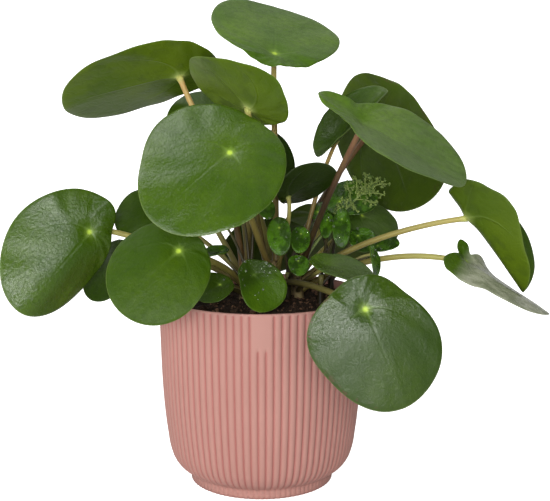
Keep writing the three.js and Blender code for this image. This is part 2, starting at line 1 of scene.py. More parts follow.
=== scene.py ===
"""A potted pilea: a ribbed pink pot, dark potting soil, short woody stems and round shield leaves.

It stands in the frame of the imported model: +Z up, the origin in the middle of the pot's base, and
-Y the front. Pieces are shaped in millimetres and built in metres. All else is in metres.
"""

import math
from types import SimpleNamespace as Sizes

import bpy
import numpy as np
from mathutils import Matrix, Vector


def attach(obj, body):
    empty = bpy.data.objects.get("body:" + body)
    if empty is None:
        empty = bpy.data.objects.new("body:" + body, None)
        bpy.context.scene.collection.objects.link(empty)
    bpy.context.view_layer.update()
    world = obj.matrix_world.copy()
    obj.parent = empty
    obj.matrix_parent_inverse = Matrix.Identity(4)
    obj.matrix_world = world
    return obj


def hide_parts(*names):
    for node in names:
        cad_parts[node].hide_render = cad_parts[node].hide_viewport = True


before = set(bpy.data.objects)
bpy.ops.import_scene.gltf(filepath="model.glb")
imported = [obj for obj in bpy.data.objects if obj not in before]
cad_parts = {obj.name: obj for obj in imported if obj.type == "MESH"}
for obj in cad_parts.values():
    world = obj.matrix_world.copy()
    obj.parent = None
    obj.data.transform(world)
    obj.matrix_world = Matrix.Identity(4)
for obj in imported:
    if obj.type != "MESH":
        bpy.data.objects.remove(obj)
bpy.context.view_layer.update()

# ---- Sizes ----

MM = 0.001  # in metres

POT = Sizes(
    height=130,
    ribs=84,
    per_rib=12,  # points round the pot for each rib
    facing=0.9,  # degrees that the smooth plate is turned to the right of the front
    rib_depth=1.1,
    groove_power=2.3,  # more makes the grooves narrower
    foot_ribs=(0.4, 4, 12),  # their share at the base, and the heights where it grows to 1
    plate_ribs=3,  # the smooth plate takes the place of this many ribs
    plate_inset=0.25,
    plate_bottom=106,
    plate_edge=1,
    lip=1.2,
    # Points of radius and height: under the base, up the crests, and down the inside.
    base=[(30, 0)],
    outside=[
        (49.2, 0), (49.8, 6.5), (52.6, 8.2), (57.4, 11.6), (61.2, 17),
        (63.6, 24.5), (65.2, 35), (70.4, 130),
    ],
    rim=[(0, -0.6), (-0.35, -0.2), (-1.2, 0), (-2, -0.3)],  # from its outer edge
    inside=[(67.9, 129.5), (62, 35), (60.4, 26), (54, 13), (45.8, 4)],
    floor=[(20, 4)],
)
SOIL = Sizes(
    edge=123, middle=127, bottom=30, radius=67.1, swell=1.6, grain=0.9, sides=180,
    rings=60, crumbs=900, crumb=(0.4, 1.3), large=2.2, large_share=0.06,
)

# Foot and top of each stem's axis, and its radius at both.
STEMS = {
    "main": dict(foot=(6, 2, 96), top=(8, -2, 152), radius=(6, 4.8)),
    "left": dict(foot=(-12, -6, 100), top=(-10, -7, 148), radius=(4.4, 3.8)),
    "right": dict(foot=(24, 2, 100), top=(25, -1, 149), radius=(4.8, 4)),
}
WOOD = Sizes(steps=56, sides=24, scars=9, scar=0.4, knob=0.3, crown=(0.45, 0.92))

BLADE = Sizes(
    thickness=0.9,
    crease=6,  # from the midrib to where the fold is complete
    section_steps=12,  # in which the bend across the blade is added up
    dimple=1.8,
    dimple_radius=7,
    ripple=0.012,  # the margin's waves, as a share of the width
    buckle=0.006,  # the swellings between the veins, as a share of the width
    margin=0.955,  # the share of the radius from which the edge is rounded
    spokes={"wide": 120, "narrow": 84, "young": 56},
    wide=50,
    full_dot=70,  # blades narrower than this have a smaller dot
)
# Rings of a blade from the dot to the margin, as shares of the radius.
RINGS = (
    0.03, 0.06, 0.1, 0.15, 0.21, 0.28, 0.35, 0.43, 0.51, 0.59, 0.67, 0.75, 0.82, 0.88, 0.93,
    0.965, 0.985, 0.995,
)
PETIOLE = Sizes(
    radii=(2.2, 1.8), small=0.75, small_width=45, steps=48, sides=14,
    swelling=(0.35, 30), flare=(0.5, 45),  # at the root and the blade: how much, and how short
    rooted=1.5,  # how far the root starts inside the bark
    sunk=0.85,  # how far under the upper side it ends, as a share of the blade's thickness
)

# Each leaf: where the petiole joins the blade, where the tip is, which way the upper side faces,
# and the blade's width. heel is the share of the length behind the petiole. fold and curl are
# degrees, positive upwards, and open is the share of the fold that is left at the base, each for
# both halves or for the left and the right one. droop is the bend along the midrib. plan scales
# the outline every 45 degrees from the tip round by the left. root is the stem, a height and a
# heading, and out and into are the petiole's handles.
# side is the kind of upper side. shade is painted light: 0 for plain green, about 1 for a leaf
# darkened by painted shade, as if deep in the shade of others, and -1 for one greyed towards the
# tip by a painted sheen. worn is how nicked and brown the margin is. faint is how far out from the
# dot its colouring starts, and drops the number of water drops. brown and dim, for the petiole, are
# how brown rather than olive green it is and how deep in painted shade, darkest at the root.
PLAIN_LEAF = dict(
    fold=0, curl=-6, plan=(1,) * 8, open=1, side="upper", shade=0, worn=0,
    faint=0, drops=0, brown=0.15, dim=0,
)
LEAVES = {
    "crown": dict(
        at=(9, -15, 291), tip=(8, 44, 322), faces=(0.25, -0.45, 0.86), width=83, heel=0.18, fold=3,
        curl=-3, droop=3, plan=(1.01, 1.05, 1.06, 1.15, 1.25, 1.12, 0.98, 1.1),
        root=("main", 149, 50), out=(0, 6, 70), into=(-1, 4, -24), side="pale", shade=-0.06,
        brown=0.4,
    ),
    "upper_left": dict(
        at=(-54, -2, 276), tip=(-130, -12, 255), faces=(-0.22, 0.44, 0.85), width=91, heel=0.24,
        fold=(9, 5), curl=(-6, 2), droop=6, plan=(0.99, 0.97, 1.02, 1.12, 1.04, 1, 1.03, 1.04),
        root=("left", 145, 165), out=(-4, 0, 60), into=(10, -2, -26), brown=0.75,
    ),
    "upper_mid": dict(
        at=(-8, -29, 256), tip=(-41, -46, 287), faces=(0.57, 0.42, 0.7), width=77, heel=0.24,
        fold=(16, -2), curl=0, droop=4, plan=(1, 0.92, 1.06, 1.36, 1.15, 1, 0.9, 0.9),
        root=("left", 147, 280), out=(2, -9, 50), into=(4, 2, -20), brown=0.3,
    ),
    "front_big": dict(
        at=(-18, -82, 232), tip=(-62, -106, 193), faces=(-0.1, -0.82, 0.56), width=90, heel=0.31,
        fold=-3, curl=-8, droop=10, plan=(1, 0.95, 0.94, 1.08, 1.05, 1.12, 1.25, 0.95),
        root=("main", 143, 268), out=(-11, -18, 30), into=(4, 16, -16), side="shiny", shade=0.07,
        brown=0.4,
    ),
    "back_small": dict(
        at=(-27, 25, 237), tip=(-55, 38, 255), faces=(-0.3, -0.6, 0.75), width=52, heel=0.3,
        droop=8, plan=(1.2, 1.12, 1, 1, 1, 1, 1, 1), root=("left", 145, 60), out=(0, 6, 40),
        into=(4, 4, -14), shade=0.45,
    ),
    "left_mid": dict(
        at=(-74, 20, 185), tip=(-97, 16, 172), faces=(-0.3, -0.9, 0.4), width=38, heel=0.3, curl=-8,
        droop=10, plan=(1.13, 1, 1, 1, 1, 1, 1, 1.04), root=("left", 140, 122), out=(-16, 4, 20),
        into=(10, 6, -6), side="dull", shade=0.5,
    ),
    "far_left": dict(
        at=(-115, -10, 173), tip=(-160, -31, 121.5), faces=(0.2, -0.97, 0), width=85, heel=0.25,
        fold=(-16, -6), curl=(-48, -14), droop=6, plan=(0.98, 0.7, 0.58, 0.62, 1, 1.08, 1.05, 1),
        open=0.4, root=("left", 138, 182), out=(-34, 8, 18), into=(3, 24, 4), side="shiny",
        shade=0.12,
    ),
    "left_lower": dict(
        at=(-50, -75, 171), tip=(-84, -90, 138), faces=(-0.06, -0.88, 0.46), width=64, heel=0.23,
        fold=(0, -3), curl=-8, droop=10, plan=(1.04, 1.03, 1, 1, 1, 1, 1, 1),
        root=("left", 136, 245), out=(-12, -14, 20), into=(8, 12, -4), side="dull", shade=0.3,
    ),
    "left_dark": dict(
        at=(-98, 18, 153), tip=(-116, 7, 124), faces=(-0.47, -0.69, 0.56), width=44, heel=0.23,
        droop=8, plan=(1.04, 1, 1, 1, 1, 1, 1, 1), root=("left", 132, 158), out=(-24, 8, 10),
        into=(12, 6, -2), side="dull", shade=0.85,
    ),
    "dark_behind": dict(
        at=(-8, 10, 224), tip=(14, 12, 196), faces=(0.25, -0.95, 0.15), width=48, heel=0.3, droop=6,
        plan=(1, 1.05, 1.06, 1, 1, 1, 1, 1), root=("main", 146, 190), out=(-8, 4, 34),
        into=(-2, 12, -6), side="dull", shade=0.9, brown=0.5,
    ),
    "dark_mid": dict(
        at=(18, -10, 197), tip=(51, -11, 213), faces=(-0.34, 0.6, 0.72), width=44, heel=0.15,
        fold=4, curl=4, droop=4, root=("main", 146, 340), out=(6, -6, 24), into=(2, -4, -10),
        side="dull", shade=1.1, faint=4, drops=3,
    ),
    "small_folded": dict(
        at=(51, 0, 235), tip=(85, 0, 267), faces=(-0.5, -0.5, 0.7), width=38, heel=0.28, fold=35,
        curl=0, droop=0, root=("right", 147, 62), out=(6, 10, 34), into=(-7, 18, -15), shade=0.35,
        faint=20, brown=0.6,
    ),
    "right_upper": dict(
        at=(64, -60, 248), tip=(122, -80, 210), faces=(0.43, -0.32, 0.84), width=85, heel=0.32,
        fold=(11, 4), curl=2, droop=0, plan=(1, 1, 0.86, 0.6, 1.02, 0.68, 0.68, 0.9),
        root=("right", 143, 325), out=(6, -14, 34), into=(-8, 8, -18), side="pale", shade=-0.11,
        faint=20, brown=1, dim=0.4,
    ),
    "right_back": dict(
        at=(84, 50, 245), tip=(107, 50, 183), faces=(0.6, 0.72, 0.27), width=88, heel=0.33, droop=4,
        plan=(1.05, 1.08, 1.04, 1.03, 1.08, 0.93, 0.93, 1.08), root=("right", 144, 125),
        out=(-3, 36, 24), into=(-10, -6, -12), side="shiny", shade=0.35, worn=0.7, brown=1,
    ),
    "right_mid": dict(
        at=(71, 35, 178), tip=(95, 33, 162), faces=(0.37, -0.6, 0.7), width=43, heel=0.28, fold=-4,
        droop=8, root=("right", 139, 40), out=(12, 14, 20), into=(-4, 10, -8), shade=-0.1, worn=0.4,
    ),
    "right_far": dict(
        at=(136, -20, 184), tip=(174, -20, 131), faces=(0.79, 0, 0.61), width=80, heel=0.25,
        fold=(36, 48), curl=8, droop=4, plan=(0.96, 1.2, 1.02, 1.05, 1, 1.24, 0.97, 0.74),
        root=("right", 138, 350), out=(26, -6, 26), into=(-30, 0, -3), shade=0.1, brown=0.3,
    ),
    "right_low": dict(
        at=(135, -30, 156.5), tip=(188.5, -38, 121), faces=(0.55, 0, 0.83), width=60, heel=0.2,
        fold=(1, -20), curl=0, droop=-4, plan=(1, 0.92, 0.32, 0.95, 0.36, 1.12, 1.08, 0.72),
        open=(65, 2.2), root=("right", 132, 10), out=(40, -6, 26), into=(-30, 0, 8), side="shiny",
        shade=-1,
    ),
    "front_right": dict(
        at=(63, -105, 141), tip=(87, -115, 82), faces=(0.05, -1, 0.19), width=78, heel=0.23,
        fold=-3, curl=-10, droop=10, plan=(0.99, 0.96, 0.82, 1, 1.03, 1.03, 1.15, 0.94),
        root=("main", 136, 300), out=(14, -34, 14), into=(-6, 14, 2), side="waxy", shade=0.5,
        worn=1, dim=0.85,
    ),
    "low_right": dict(
        at=(42, -45, 157), tip=(73, -52, 147), faces=(0.1, -0.35, 0.9), width=28, heel=0.25, fold=6,
        curl=0, droop=4, root=("right", 132, 280), out=(4, -18, 12), into=(-4, 4, -6), side="shiny",
        shade=-0.1, faint=10, drops=5, dim=0.9,
    ),
    "low_centre": dict(
        at=(-4, -58, 153), tip=(9, -63, 132), faces=(0.25, -0.8, 0.5), width=34, heel=0.25, fold=3,
        curl=14, droop=4, plan=(1, 0.95, 0.9, 0.98, 1.25, 1.1, 0.82, 1.05), root=("main", 131, 255),
        out=(-4, -22, 12), into=(-2, 6, -3), side="painted_shade_heel", shade=0.5, faint=4, drops=40, dim=0.9,
    ),
    "low_left": dict(
        at=(-27, -30, 141), tip=(-41, -39, 132), faces=(-0.2, -0.6, 0.75), width=28, heel=0.3,
        fold=3, curl=4, droop=6, root=("left", 130, 225), out=(-4, -6, 6), into=(2, 3, -4),
        side="dull", shade=0.4, drops=12, dim=0.8,
    ),
    "back_top": dict(
        at=(-22, 62, 226), tip=(-30, 104, 206), faces=(-0.1, 0.5, 0.86), width=66, heel=0.28,
        fold=2, curl=-8, droop=12, root=("main", 145, 110), out=(0, 28, 26), into=(5, -13, -17),
    ),
    "back_left": dict(
        at=(-48, 66, 190), tip=(-76, 98, 166), faces=(-0.4, 0.5, 0.77), width=64, heel=0.27, fold=3,
        curl=-8, droop=10, root=("left", 136, 105), out=(-10, 20, 20), into=(8, -10, -14),
    ),
    "back_right": dict(
        at=(46, 66, 170), tip=(59, 93, 127), faces=(0.2, 0.8, 0.55), width=72, heel=0.27, fold=2,
        curl=-8, droop=10, root=("right", 138, 158), out=(-2, 32, 18), into=(-4, -12, -12),
        shade=0.7,
    ),
    "back_low": dict(
        at=(4, 53, 163), tip=(5, 75, 128), faces=(-0.1, 0.8, 0.6), width=66, heel=0.26, fold=2,
        droop=8, root=("main", 139, 85), out=(0, 20, 14), into=(0, -12, -6), shade=0.8,
    ),
}

# Young shoots: a short stem each, and leaves that are still part of it, each with its at, tip,
# faces and width.
SHOOTS = {
    "shoot_main": dict(
        foot=(18, -10, 106), top=(18, -11, 146),
        leaves=[
            ((12, -24, 178), (13, -33, 160.5), (-0.1, -0.85, 0.5), 16),
            ((26.5, -18, 173), (24.5, -26, 161), (0.15, -0.85, 0.5), 13),
            ((24.5, -30, 157), (25, -38, 148), (0.05, -0.75, 0.65), 14),
        ],
    ),
    "shoot_right": dict(
        foot=(39, -20, 106), top=(40, -20, 146),
        leaves=[
            ((54, -12, 182), (53, -20, 163.5), (-0.1, -0.85, 0.5), 12),
            ((44.5, -8, 181), (43.5, -14, 169), (-0.3, -0.85, 0.4), 9),
            ((74, -22, 160), (74.5, -26, 145), (0.85, -0.5, 0.1), 13),
        ],
    ),
    "shoot_back": dict(
        foot=(48, 10, 106), top=(48, 10, 146),
        leaves=[
            ((39, 17, 183), (49, 16, 177), (-0.1, -0.7, 0.7), 18),
            ((54, 18, 190), (80, 15, 191), (0.05, -0.75, 0.65), 30),
            ((66, 6, 168), (73, 1, 158), (0.1, -0.7, 0.7), 20),
            ((80, 10, 160.5), (95, 11, 162), (0.2, -0.6, 0.8), 16),
        ],
    ),
    "shoot_left": dict(
        foot=(-6, -25, 106), top=(-7, -24, 142),
        leaves=[
            ((-14, -28, 194), (-16, -36, 180), (-0.2, -0.8, 0.5), 18),
            ((-28, -18, 184), (-38, -20, 174), (-0.4, -0.5, 0.7), 16),
            ((0, -22, 194), (6, -26, 184), (0.2, -0.6, 0.7), 14),
            ((-26, -20, 162), (-38, -22, 158), (-0.3, -0.4, 0.85), 13),
        ],
    ),
}

# The shoots' stems and leaves. out and into are the petiole's handles, as shares of its reach. The
# first petiole starts a little below the stem's top, and the others below it.
YOUNG = dict(
    stem=2.6, taper=0.7, petiole=(1.1, 0.8), heel=0.28, fold=8, curl=10,
    droop=10, out=(0.2, 0.2, 0.5), into=0.25, below=2, apart=3,
)

# The flower spray: its stalk, and for each branch the share of the stalk and where it ends.
SPRAY = Sizes(
    root=("right", 148, 5),
    out=(9, 1, 20),
    top=(70, 4, 199),
    into=(-8, 2, -8),
    stalk=(1.1, 0.6),
    branch=(0.46, 0.35),
    sag=2,
    twigs=10,
    twig=(1.5, 4.5),
    twig_radii=(0.22, 0.2, 0.15),
    buds_per_twig=6,
    bud=(0.32, 0.6),
    bud_away=(0.3, 1.4),
    branches=[
        (0.7, (56, 0, 193)), (0.76, (58, 3, 204)), (0.84, (64, 0, 208)), (0.8, (78, 1, 190)),
        (0.9, (84, 4, 196)), (1, (71, 8, 209)), (1, (79, -2, 206)), (1, (85, 2, 204)),
        (0.65, (51, 1, 186)), (0.72, (64, -2, 187)), (0.85, (68, 3, 200)), (0.92, (76, 0, 199)),
    ],
)

# The spray's and the shoots' stalks: brown, and dim for painted shade, as for leaves.
SPRAY_STALKS = dict(stalk=(0.5, 0, 0), branch=(0.7, 0, 0))
SHOOT_STALKS = dict(stem=(0.2, 2.4, 0), petiole=(0.1, 1.1, 0))
# The shoots' leaves are darkened by painted shade.
YOUNG_LOOK = (0.3, 0.7)  # shade and age of the shoots' leaves
# The kinds of upper side: how strong and how rough the gloss is, how much lighter the green is
# painted for the light that falls on it, how much rougher it gets towards the tip, and how much
# painted shade darkens it towards the heel.
UPPER_SIDES = {
    "upper": dict(specular=0.28, roughness=0.36),
    "shiny": dict(specular=0.4, roughness=0.23),
    "dull": dict(specular=0.14, roughness=0.34),
    # Painted light: a paler green for leaves that face the light from above.
    "pale": dict(specular=0.18, roughness=0.38, pale=1.5),
    # Painted light and shade: lighter overall and darker towards the heel.
    "painted_shade_heel": dict(specular=0.14, roughness=0.34, pale=1.15, shady=0.6),
    "waxy": dict(specular=0.42, roughness=0.2, pale=0.95, duller=0.2),
}
# A blade's veins: where each leaves the dot, in radians from the tip's direction, how far it
# turns to the tip on its way out, and its strength.
VEINS = ((0, 0, 1), (1.72, 1.15, 0.9), (2.55, 0.3, 0.45), (3.14, 0, 0.4))

SHOOT_DROPS = 10  # on each of the shoots' leaves
DROP = Sizes(size=(0.25, 0.5), large=1.9, large_share=0.3, flatter=0.45, out=0.2)

CAMERA = Sizes(at=(0.0093, -0.778, 0.289), pitch=9.5, focal_pixels=1158.6, image_width=550)
# Where each lamp is, where it points, its width and height, and its power.
LAMPS = {
    "front": ((0, -1.24, 0.55), (0, 0, 0.15), (0.45, 0.3), 5),
    "low": ((-0.2, -1.25, 0.36), (0.05, 0, 0.12), (0.34, 0.24), 5.5),
    "key": ((-1, -1, 0.5), (0, 0, 0.13), (0.8, 0.6), 7.5),
    "fill": ((1, -2.4, 0.7), (0, 0, 0.13), (3, 2.2), 20),
    "overhead": ((-0.8, 0.05, 1.5), (0, 0, 0.17), (0.9, 0.9), 10),
    "sky": ((0.2, 0.4, 1.7), (0, 0, 0.17), (2.2, 2.2), 7),
    "backdrop": ((0, 0.8, 1.3), (0, 1.9, 0.5), (1.4, 1.4), 11),
}
UNMIRRORED = ("fill", "backdrop")  # lamps that no gloss mirrors
# The white floor, which bends up into a wall.
SWEEP = Sizes(front=-0.85, bend_start=1.2, bend=0.8, bend_steps=13, height=3, half_width=3)
SURROUND = 0.1  # the strength of the white light from all round

rng = np.random.default_rng(7)


# ---- Shape tools ----

ASIDE = (0.3, 0.9, 0.2)  # a direction in which no tube starts


def unit(v):
    v = np.asarray(v, float)
    return v / np.linalg.norm(v)


def smoothstep(low, high, x):
    t = np.clip((x - low) / (high - low), 0, 1)
    return t * t * (3 - 2 * t)


def smooth_through(before, start, end, after, share):
    """The smooth curve through evenly spaced values, between the middle two."""
    leaving, arriving, rise = (end - before) / 2, (after - start) / 2, end - start
    bend = 3 * rise - 2 * leaving - arriving + share * (leaving + arriving - 2 * rise)
    return start + share * (leaving + share * bend)


def noise(a, b):
    """Smooth noise from 0 to 1 that depends only on its arguments."""
    return 0.5 + 0.25 * np.sin(3.1 * a + 1.7 * b) + 0.25 * np.sin(5.3 * b - 2.3 * a + 1)


def full_turn(sides):
    """Evenly spaced angles once round."""
    return np.linspace(0, 2 * math.pi, sides, endpoint=False)


def bezier(a, b, c, d, steps):
    t = np.linspace(0, 1, steps + 1)[:, None]
    return (1 - t) ** 3 * a + 3 * (1 - t) ** 2 * t * b + 3 * (1 - t) * t**2 * c + t**3 * d


def closed_faces(rings, sides):
    """Faces, outwards, of rings that turn left going up, and of a point below and one above."""
    faces = []
    for low in range(0, (rings - 1) * sides, sides):
        for k in range(sides):
            n = (k + 1) % sides
            faces.append((low + k, low + n, low + sides + n, low + sides + k))
    below, last = rings * sides, (rings - 1) * sides
    faces += [(below, (k + 1) % sides, k) for k in range(sides)]
    faces += [(below + 1, last + k, last + (k + 1) % sides) for k in range(sides)]
    return faces


def new_mesh(name, points, faces, materials, smooth=True):
    mesh = bpy.data.meshes.new(name)
    mesh.from_pydata(points, [], faces)
    for material in materials:
        mesh.materials.append(material)
    mesh.polygons.foreach_set("use_smooth", np.full(len(faces), smooth))
    return mesh


def new_object(name, data):
    made = bpy.data.objects.new(name, data)
    bpy.context.scene.collection.objects.link(made)
    return made


class Piece:
    """Closed shells, in millimetres, that become one object. Each vertex carries two vectors for
    the materials."""

    def __init__(self, name):
        self.name = name
        self.points, self.place, self.look = [], [], []
        self.faces, self.material = [], []
        self.count = 0

    def add(self, points, faces, material=0, place=(0, 0, 0), look=(0, 0, 0)):
        """material is one slot number or one for each face, place and look one row or many."""
        points = np.asarray(points, float)
        self.points.append(points)
        self.place.append(np.broadcast_to(np.asarray(place, float), points.shape))
        self.look.append(np.broadcast_to(np.asarray(look, float), points.shape))
        self.faces += [[i + self.count for i in face] for face in faces]
        self.material += list(np.broadcast_to(material, len(faces)))
        self.count += len(points)

    def add_rings(self, rings, ends, **kinds):
        """A shell of rings with equal counts, closed by a point at each end."""
        rings = np.asarray(rings)
        points = np.concatenate([rings.reshape(-1, 3), ends])
        self.add(points, closed_faces(*rings.shape[:2]), **kinds)

    def sweep(self, path, radii, sides, last=None, **kinds):
        """A round tube along points with a radius for each. Its last ring is square to last."""
        path = np.asarray(path, float)
        tangents = np.gradient(path, axis=0)
        if last is not None:
            tangents[-1] = last
        tangents /= np.linalg.norm(tangents, axis=1)[:, None]
        side = unit(np.cross(tangents[0], ASIDE))
        turn = full_turn(sides)
        rings = []
        for centre, tangent, radius in zip(path, tangents, radii):
            side = unit(side - tangent * np.dot(side, tangent))
            ring = np.outer(np.cos(turn), side) + np.outer(np.sin(turn), np.cross(tangent, side))
            rings.append(centre + radius * ring)
        share = np.concatenate([np.repeat(np.linspace(0, 1, len(path)), sides), [0, 1]])
        self.add_rings(rings, path[[0, -1]], place=np.outer(share, (1, 0, 0)), **kinds)

    def build(self, materials, nodes=(), smooth=True):
        points = (np.concatenate(self.points) * MM).tolist()
        mesh = new_mesh(self.name, points, self.faces, materials, smooth)
        mesh.polygons.foreach_set("material_index", np.array(self.material, np.int32))
        for name, rows in (("place", self.place), ("look", self.look)):
            layer = mesh.attributes.new(name, "FLOAT_VECTOR", "POINT")
            layer.data.foreach_set("vector", np.concatenate(rows).astype(np.float32).ravel())
        mesh.update()
        piece = new_object(self.name, mesh)
        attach(piece, "root")
        if nodes:
            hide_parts(*nodes)
        return piece


# ---- Materials ----


class Value:
    """An output in a node tree, with which one can reckon as with a number."""

    def __init__(self, nodes, socket):
        self.nodes, self.socket = nodes, socket

    def __add__(self, other):
        return self.nodes.math("ADD", self, other)

    def __sub__(self, other):
        return self.nodes.math("SUBTRACT", self, other)

    def __rsub__(self, other):
        return self.nodes.math("SUBTRACT", other, self)

    def __mul__(self, other):
        return self.nodes.math("MULTIPLY", self, other)

    def __truediv__(self, other):
        return self.nodes.math("DIVIDE", self, other)

    def __pow__(self, other):
        return self.nodes.math("POWER", self, other)


class Nodes:
    """The node tree of a material or a world, with short calls for the nodes that are used here."""

    def __init__(self, name, blocks=bpy.data.materials, shader="Principled BSDF"):
        self.owner = blocks.new(name)
        self.owner.use_nodes = True
        self.tree = self.owner.node_tree
        self.shader = self.tree.nodes[shader]

    def feed(self, socket, value):
        if isinstance(value, Value):
            self.tree.links.new(value.socket, socket)
        else:
            socket.default_value = value

    def made(self, kind, inputs=(), output=0, **settings):
        """An output of a new node. inputs are values in order, or by name or number."""
        node = self.tree.nodes.new(kind)
        for key, value in settings.items():
            setattr(node, key, value)
        for key, value in inputs.items() if isinstance(inputs, dict) else enumerate(inputs):
            self.feed(node.inputs[key], value)
        return Value(self, node.outputs[output])

    def math(self, operation, *values):
        return self.made("ShaderNodeMath", values, operation=operation)

    def ramp(self, value, low, high, start=0, end=1):
        """A value mapped from low..high to start..end, clamped and eased."""
        values = (value, low, high, start, end)
        return self.made("ShaderNodeMapRange", values, interpolation_type="SMOOTHSTEP")

    def vector(self, *values):
        return self.made("ShaderNodeCombineXYZ", values)

    def attribute(self, name):
        """The three numbers that a vertex carries under that name."""
        vector = self.made("ShaderNodeAttribute", (), "Vector", attribute_name=name)
        return [self.made("ShaderNodeSeparateXYZ", [vector], axis) for axis in range(3)]

    def position(self, scale=(1, 1, 1)):
        place = self.made("ShaderNodeTexCoord", (), "Object")
        return self.made("ShaderNodeMapping", dict(Vector=place, Scale=scale))

    def camera_ray(self):
        return self.made("ShaderNodeLightPath", (), "Is Camera Ray")

    def noise(self, scale, detail=3, roughness=0.5, vector=None, kind="FBM", **more):
        vector = vector or self.position()
        inputs = dict(Vector=vector, Scale=scale, Detail=detail, Roughness=roughness, **more)
        return self.made("ShaderNodeTexNoise", inputs, noise_type=kind)

    def mix(self, share, a, b):
        a, b = (colour if isinstance(colour, Value) else (*colour, 1) for colour in (a, b))
        # This node has sockets for each type of data. These are the ones for colours.
        return self.made("ShaderNodeMix", {0: share, 6: a, 7: b}, 2, data_type="RGBA")

    def paint(self, colour, *layers):
        """A colour with others laid over it in turn, each given as its share and its colour."""
        for share, tone in layers:
            colour = self.mix(share, colour, tone)
        return colour

    def bump(self, height, distance, strength=1, **normal):
        inputs = dict(Height=height, Distance=distance, Strength=strength, **normal)
        return self.made("ShaderNodeBump", inputs)

    def finish(self, **inputs):
        for key, value in inputs.items():
            self.feed(self.shader.inputs[key.replace("_", " ")], value)
        return self.owner


def from_dot(x, y):
    """The distance from the dot, over which the petiole joins the blade."""
    return (x**2 + y**2) ** 0.5


def vein_mask(n, x, y, share, width):
    """Lines of the midrib, of the two side veins that arch to the tip, and of the back veins."""
    angle = n.math("ABSOLUTE", n.math("ARCTAN2", y, x))
    thin = (1.25 - share) * width
    fade = n.ramp(share, 0.55, 0.97, 1, 0)
    mask = 0
    for start, turned, weight in VEINS:
        course = start - share**0.8 * turned
        away = n.math("ABSOLUTE", angle - course) * from_dot(x, y)
        line = n.ramp(away / thin, 0, 1, 1, 0)
        mask = n.math("MAXIMUM", mask, line * fade * weight)
    return mask


def leaf_look(n):
    """Painted shade, painted sheen, youth and wear of the leaf, and the distance from its dot."""
    shade, age, radius = n.attribute("look")
    towards_tip = n.ramp(n.attribute("place")[0], -0.006, 0.006)
    painted_sheen = n.math("MAXIMUM", shade * -1, 0) * towards_tip
    worn = n.math("MAXIMUM", age * -1, 0)
    return n.math("MAXIMUM", shade, 0), painted_sheen, n.math("MAXIMUM", age, 0), worn, radius


def nicks(n, y, share):
    """Small nicks along the margin, on one side of the leaf."""
    spots = n.ramp(n.noise(330, 2), 0.54, 0.62)
    return spots * n.ramp(share, 0.9, 0.97) * n.ramp(y, -0.02, -0.01, 1, 0)


NICK_BROWN = (0.06, 0.048, 0.014)


def leaf_upper(name, specular, roughness, pale=1, duller=0, shady=0):
    """Thick, waxy upper side: deep green, a yellow dot over the petiole, faint veins, wrinkles."""
    n = Nodes(name)
    x, y, share = n.attribute("place")
    dark, painted_sheen, young, worn, radius = leaf_look(n)
    veins = vein_mask(n, x, y, share, 0.0016)
    fine = n.noise(260, 4, 0.65)
    reach = from_dot(x, y) + 0.0001
    rays = n.noise(7, 4, 0.65, n.vector(x / reach, y / reach, share), Distortion=0.5)
    streak = n.noise(260, 3, 0.6, n.position((0.3, 1, 0.5)))
    # pale lightens the greens as painted light.
    tones = [np.array(tone) * pale for tone in ((0.038, 0.085, 0.002), (0.057, 0.112, 0.003))]
    fresh = ((0.012, 0.05, 0.001), (0.09, 0.25, 0.008))
    painted_sheen_tones = ((0.25, 0.27, 0.18), (0.42, 0.43, 0.32))
    wobbly = radius + fine * 0.0008
    colour = n.paint(
        n.mix(n.ramp(n.noise(26, 2), 0.35, 0.65), *tones),
        (n.ramp(fine, 0.38, 0.66) * 0.4, (0.032, 0.07, 0.003)),
        (n.ramp(rays, 0.5, 0.62) * n.ramp(share, 0.15, 0.5) * 0.22, (0.02, 0.05, 0.002)),
        (young * 0.9, n.mix(n.ramp(n.noise(150, 3, 0.6), 0.42, 0.62), *fresh)),
        # Painted shade: darker leaves, and with shady, darker towards the heel.
        (dark * n.ramp(x, 0, 0.012, 0.85 + shady, 0.85 - shady), (0.008, 0.02, 0.001)),
        # Painted sheen: grey streaks towards the tip.
        (painted_sheen * 0.9, n.mix(n.ramp(streak, 0.35, 0.65), *painted_sheen_tones)),
        (nicks(n, y, share) * worn, NICK_BROWN),
        (veins * n.ramp(radius, 0.002, 0.012, 0.3, 0.02), (0.16, 0.26, 0.05)),
        (n.ramp(share, 0.985, 0.998, 0, 0.3), (0.24, 0.32, 0.09)),  # the margin
        (n.ramp(wobbly, 0.001, 0.006, 0.35, 0), (0.3, 0.46, 0.06)),  # round the dot
        (n.ramp(wobbly, 0.001, 0.0029, 0.95, 0), (0.42, 0.58, 0.06)),  # the dot
    )
    crinkle = n.noise(430, 4, 0.68, Distortion=0.3) * 0.9
    height = crinkle + rays * n.ramp(share, 0.1, 0.5, 0, 0.8)
    height = height - veins * n.ramp(share, 0, 0.7, 0.45, 0.08)
    rough = n.ramp(fine, 0.3, 0.7, roughness, roughness + 0.06) - young * 0.15
    return n.finish(
        Base_Color=colour,
        Roughness=rough + n.ramp(x, 0.004, 0.024, 0, duller),
        Specular_IOR_Level=specular,
        Normal=n.bump(height, 0.0006, 0.65, Normal=n.bump(n.noise(60, 2), 0.0012, 0.35)),
    )


